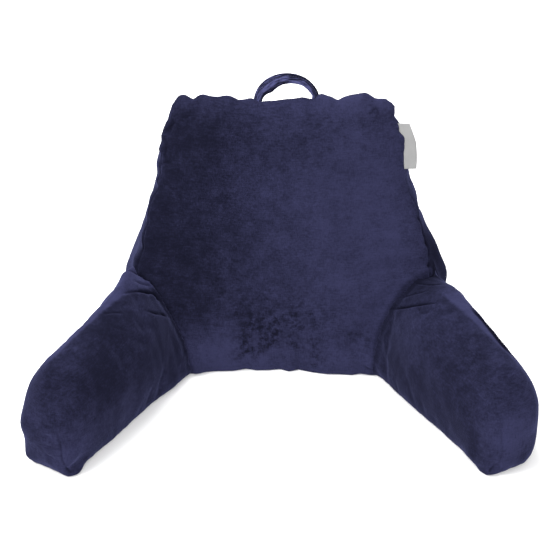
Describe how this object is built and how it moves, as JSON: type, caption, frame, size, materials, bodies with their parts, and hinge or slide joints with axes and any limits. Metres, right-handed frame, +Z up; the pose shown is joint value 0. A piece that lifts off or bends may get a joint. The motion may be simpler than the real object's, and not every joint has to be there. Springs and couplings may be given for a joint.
{
  "type": "reading pillow with arms",
  "caption": "Wedge-shaped reading pillow with a leaning crowned back, splayed padded arms, a carry handle in the top seam and a plain side tab.",
  "frame": {"origin": "on the surface the pillow stands on, midway between its outer sides and midway front to rear", "axes": "+X to the right as seen from in front, +Y to the rear, +Z up; the seat side faces -Y"},
  "size_m": [0.8172, 0.5227, 0.4743],
  "materials": {
    "velour": "navy velour with a short brushed nap",
    "tape": "plain pale grey woven tape"
  },
  "bodies": {
    "root": {"back": "velour", "arm_left": "velour", "arm_right": "velour", "handle": "velour", "label": "tape"}
  },
  "joints": []
}
